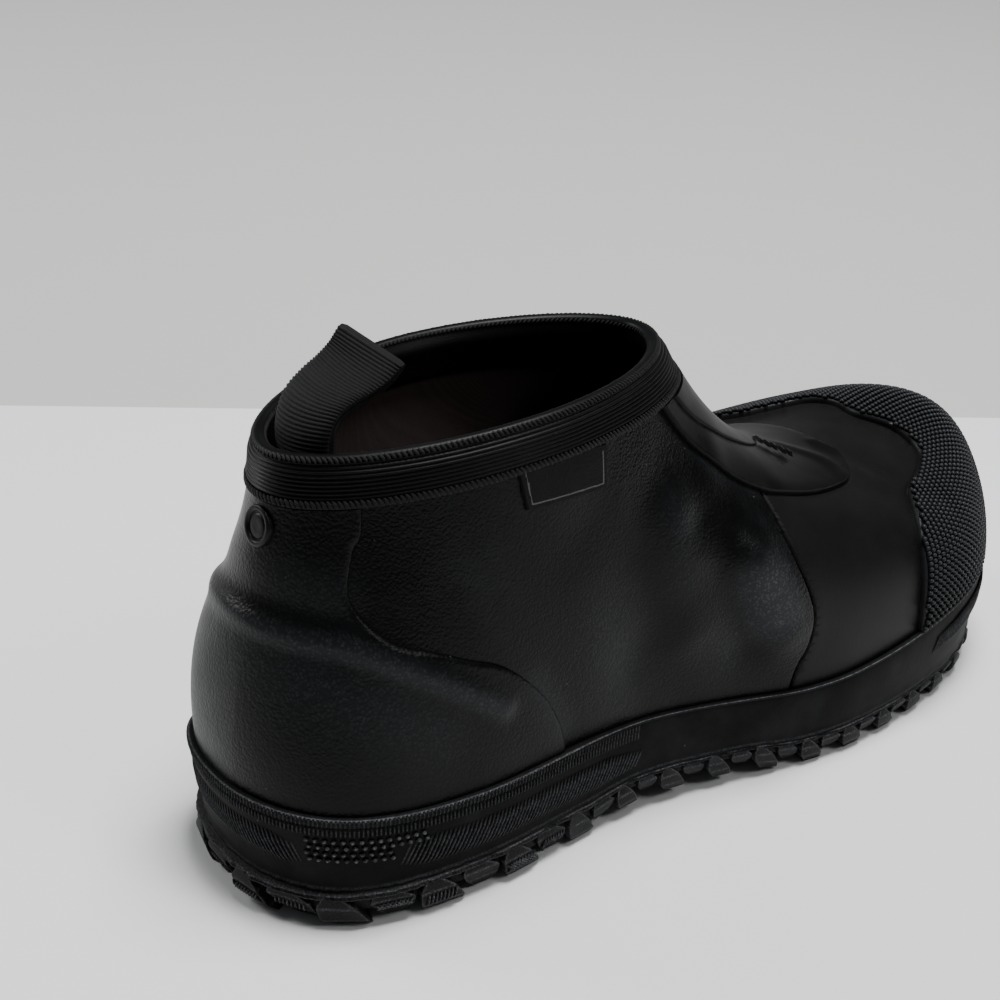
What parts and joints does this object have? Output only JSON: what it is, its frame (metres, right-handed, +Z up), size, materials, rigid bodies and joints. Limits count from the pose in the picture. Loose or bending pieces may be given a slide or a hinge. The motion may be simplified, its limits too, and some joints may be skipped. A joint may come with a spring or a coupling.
{
  "type": "rubber overshoe",
  "caption": "Ankle-high pull-on rubber overshoe for the right foot, with a lugged sole, foxing strip, toe guard, heel counter, instep gusset and pull loop.",
  "frame": {"origin": "on the floor below the middle of the whole shoe's box, with the shoe standing on its lugs", "axes": "+Z up, +Y from heel to toe along the sole, +X to the outer (lateral) side of the right foot"},
  "size_m": [0.1248, 0.3266, 0.1551],
  "materials": {
    "outsole_rubber": "matt, moulded tread",
    "quarter_rubber": "satin, fine pebbled grain",
    "lining": "knitted lining",
    "foxing_rubber": "matt, ribbed and dotted at the heel",
    "guard_rubber": "matt, moulded diamond texture",
    "counter_rubber": "satin, fine pebbled grain",
    "gusset_rubber": "satin, smooth",
    "binding_rubber": "matt, ribbed band with overlock stitches",
    "webbing": "coarse ribbed webbing",
    "button_rubber": "satin",
    "label_weave": "plain woven label"
  },
  "bodies": {
    "root": {"outsole": "outsole_rubber", "upper": "quarter_rubber", "insole": "lining", "foxing": "foxing_rubber", "toe_guard": "guard_rubber", "heel_counter": "counter_rubber", "instep_gusset": "gusset_rubber", "collar_binding": "binding_rubber", "pull_loop": "webbing", "heel_button": "button_rubber", "side_label": "label_weave"}
  },
  "joints": []
}
